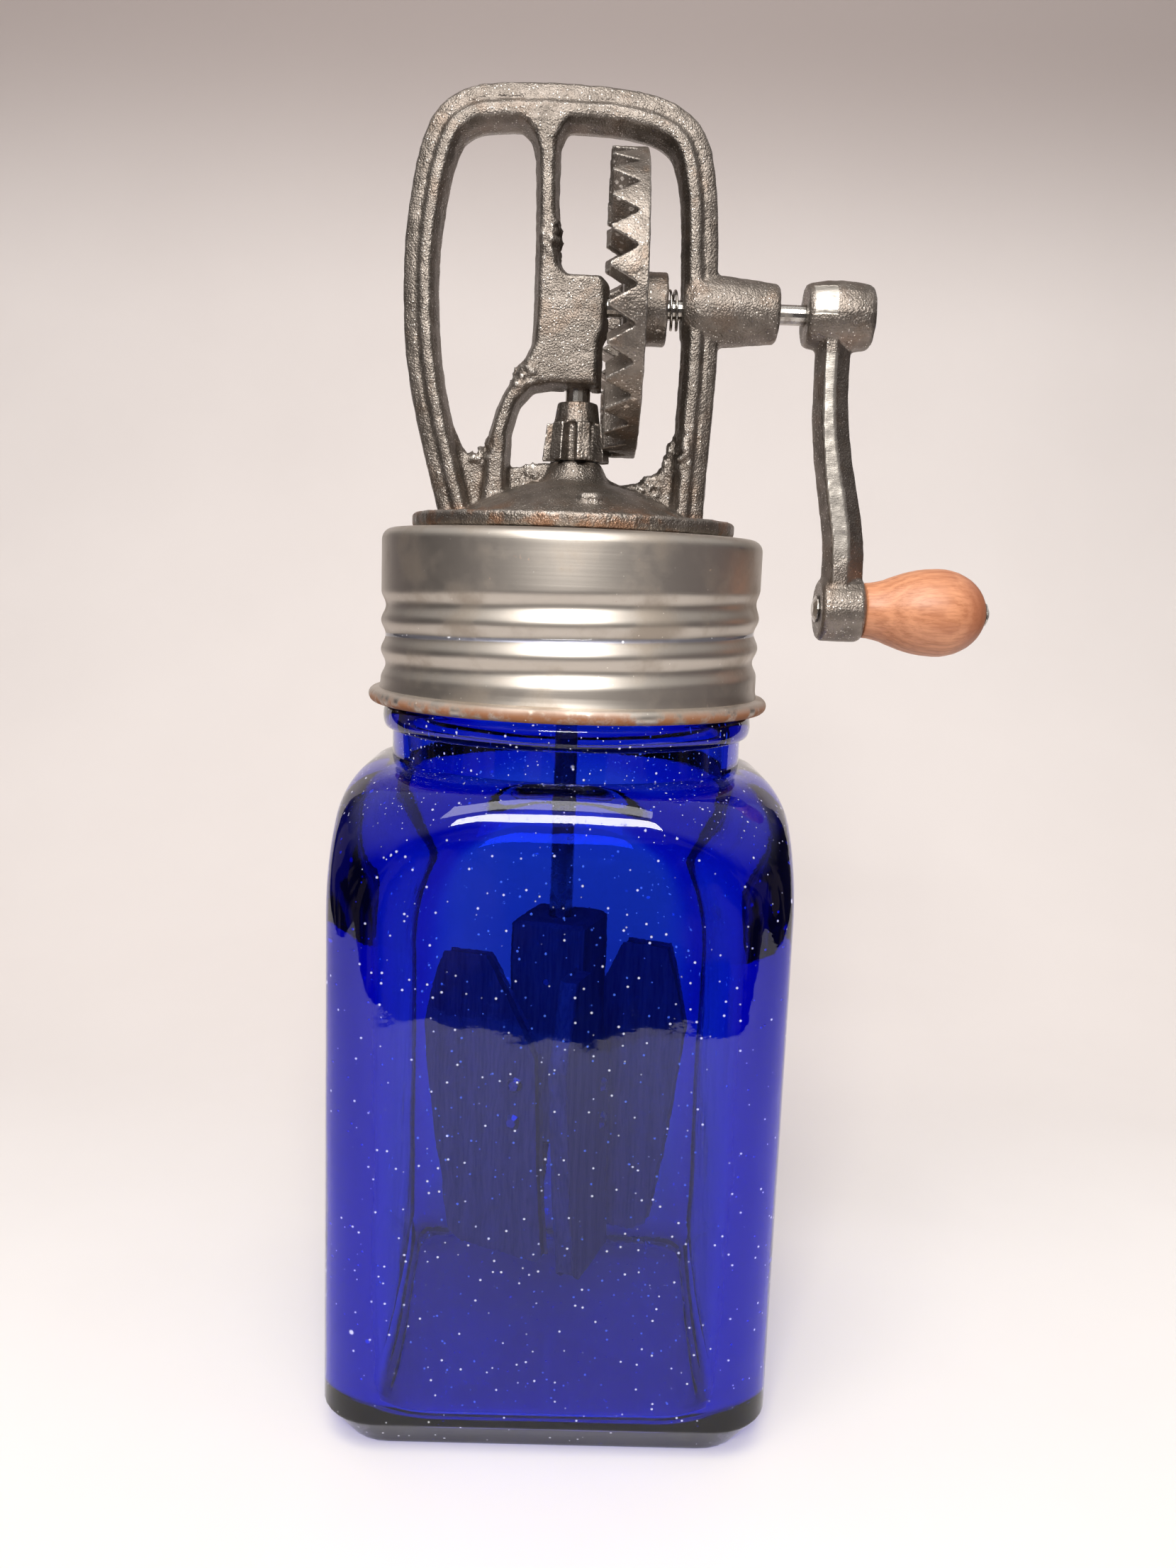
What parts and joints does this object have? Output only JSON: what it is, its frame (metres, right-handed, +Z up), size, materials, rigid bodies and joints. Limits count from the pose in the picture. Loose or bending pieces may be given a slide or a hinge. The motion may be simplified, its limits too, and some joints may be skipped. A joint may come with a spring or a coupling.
{
  "type": "hand-cranked glass jar butter churn",
  "caption": "Square glass jar with a screw cap that carries an iron gear head. Turning the side crank spins a wooden dasher inside the jar.",
  "frame": {"origin": "centre of the jar's flat base, which rests on a table", "axes": "+Z up along the dasher shaft, +X towards the crank, -Y towards the front face that the picture shows"},
  "size_m": [0.1686, 0.1134, 0.339],
  "materials": {
    "cobalt_glass": "thick cobalt-blue pressed glass, glossy, with a few bubbles",
    "tinned_steel": "tinned sheet steel, satin, lightly stained",
    "grey_rubber": "matt, aged",
    "cast_iron": "bare sand-cast iron, slightly rough with a worn sheen",
    "bright_steel": "plain drawn steel, dull",
    "turned_wood": "turned hardwood, oiled and worn",
    "dasher_wood": "plain sawn hardwood, unfinished"
  },
  "bodies": {
    "jar": {"glass_jar": "cobalt_glass"},
    "gasket": {"cap_gasket": "grey_rubber"},
    "head": {"screw_cap": "tinned_steel", "cast_frame": "cast_iron", "cap_screw_1": "bright_steel", "cap_screw_2": "bright_steel", "cap_screw_3": "bright_steel"},
    "crank": {"crown_gear": "cast_iron", "gear_pin": "bright_steel", "crank_shaft": "bright_steel", "thrust_spring": "bright_steel", "crank_arm": "cast_iron", "crank_pin": "bright_steel", "handle_rivet": "bright_steel"},
    "handle": {"wooden_handle": "turned_wood"},
    "dasher": {"dasher_shaft": "bright_steel", "pinion": "cast_iron", "pinion_pin": "bright_steel", "dasher_block": "dasher_wood", "dasher_pin": "bright_steel", "paddle_1": "dasher_wood", "paddle_2": "dasher_wood", "paddle_3": "dasher_wood", "paddle_4": "dasher_wood", "paddle_screw_1": "bright_steel", "paddle_screw_2": "bright_steel", "paddle_screw_3": "bright_steel", "paddle_screw_4": "bright_steel", "paddle_screw_5": "bright_steel", "paddle_screw_6": "bright_steel", "paddle_screw_7": "bright_steel", "paddle_screw_8": "bright_steel"}
  },
  "joints": [
    {"name": "cap_lift", "type": "slide", "parent": "jar", "child": "gasket", "axis": [0, 0, 1], "range_m": [0, 0.0115]},
    {"name": "cap_turn", "type": "hinge", "parent": "gasket", "child": "head", "pos_m": [0, 0, 0.2287], "axis": [0, 0, 1], "range_deg": [0, 540]},
    {"name": "crank_spin", "type": "hinge", "parent": "head", "child": "crank", "pos_m": [0, 0, 0.2865], "axis": [1, 0, 0], "continuous": true},
    {"name": "handle_spin", "type": "hinge", "parent": "crank", "child": "handle", "pos_m": [0.0949, 0, 0.2117], "axis": [1, 0, 0], "continuous": true},
    {"name": "dasher_spin", "type": "hinge", "parent": "head", "child": "dasher", "pos_m": [0, 0, 0.2475], "axis": [0, 0, 1], "continuous": true}
  ],
  "couplings": [
    {"joint": "cap_lift", "follows": "cap_turn", "m_per_rad": 0.0012096},
    {"joint": "dasher_spin", "follows": "crank_spin", "ratio": 3.8571}
  ]
}
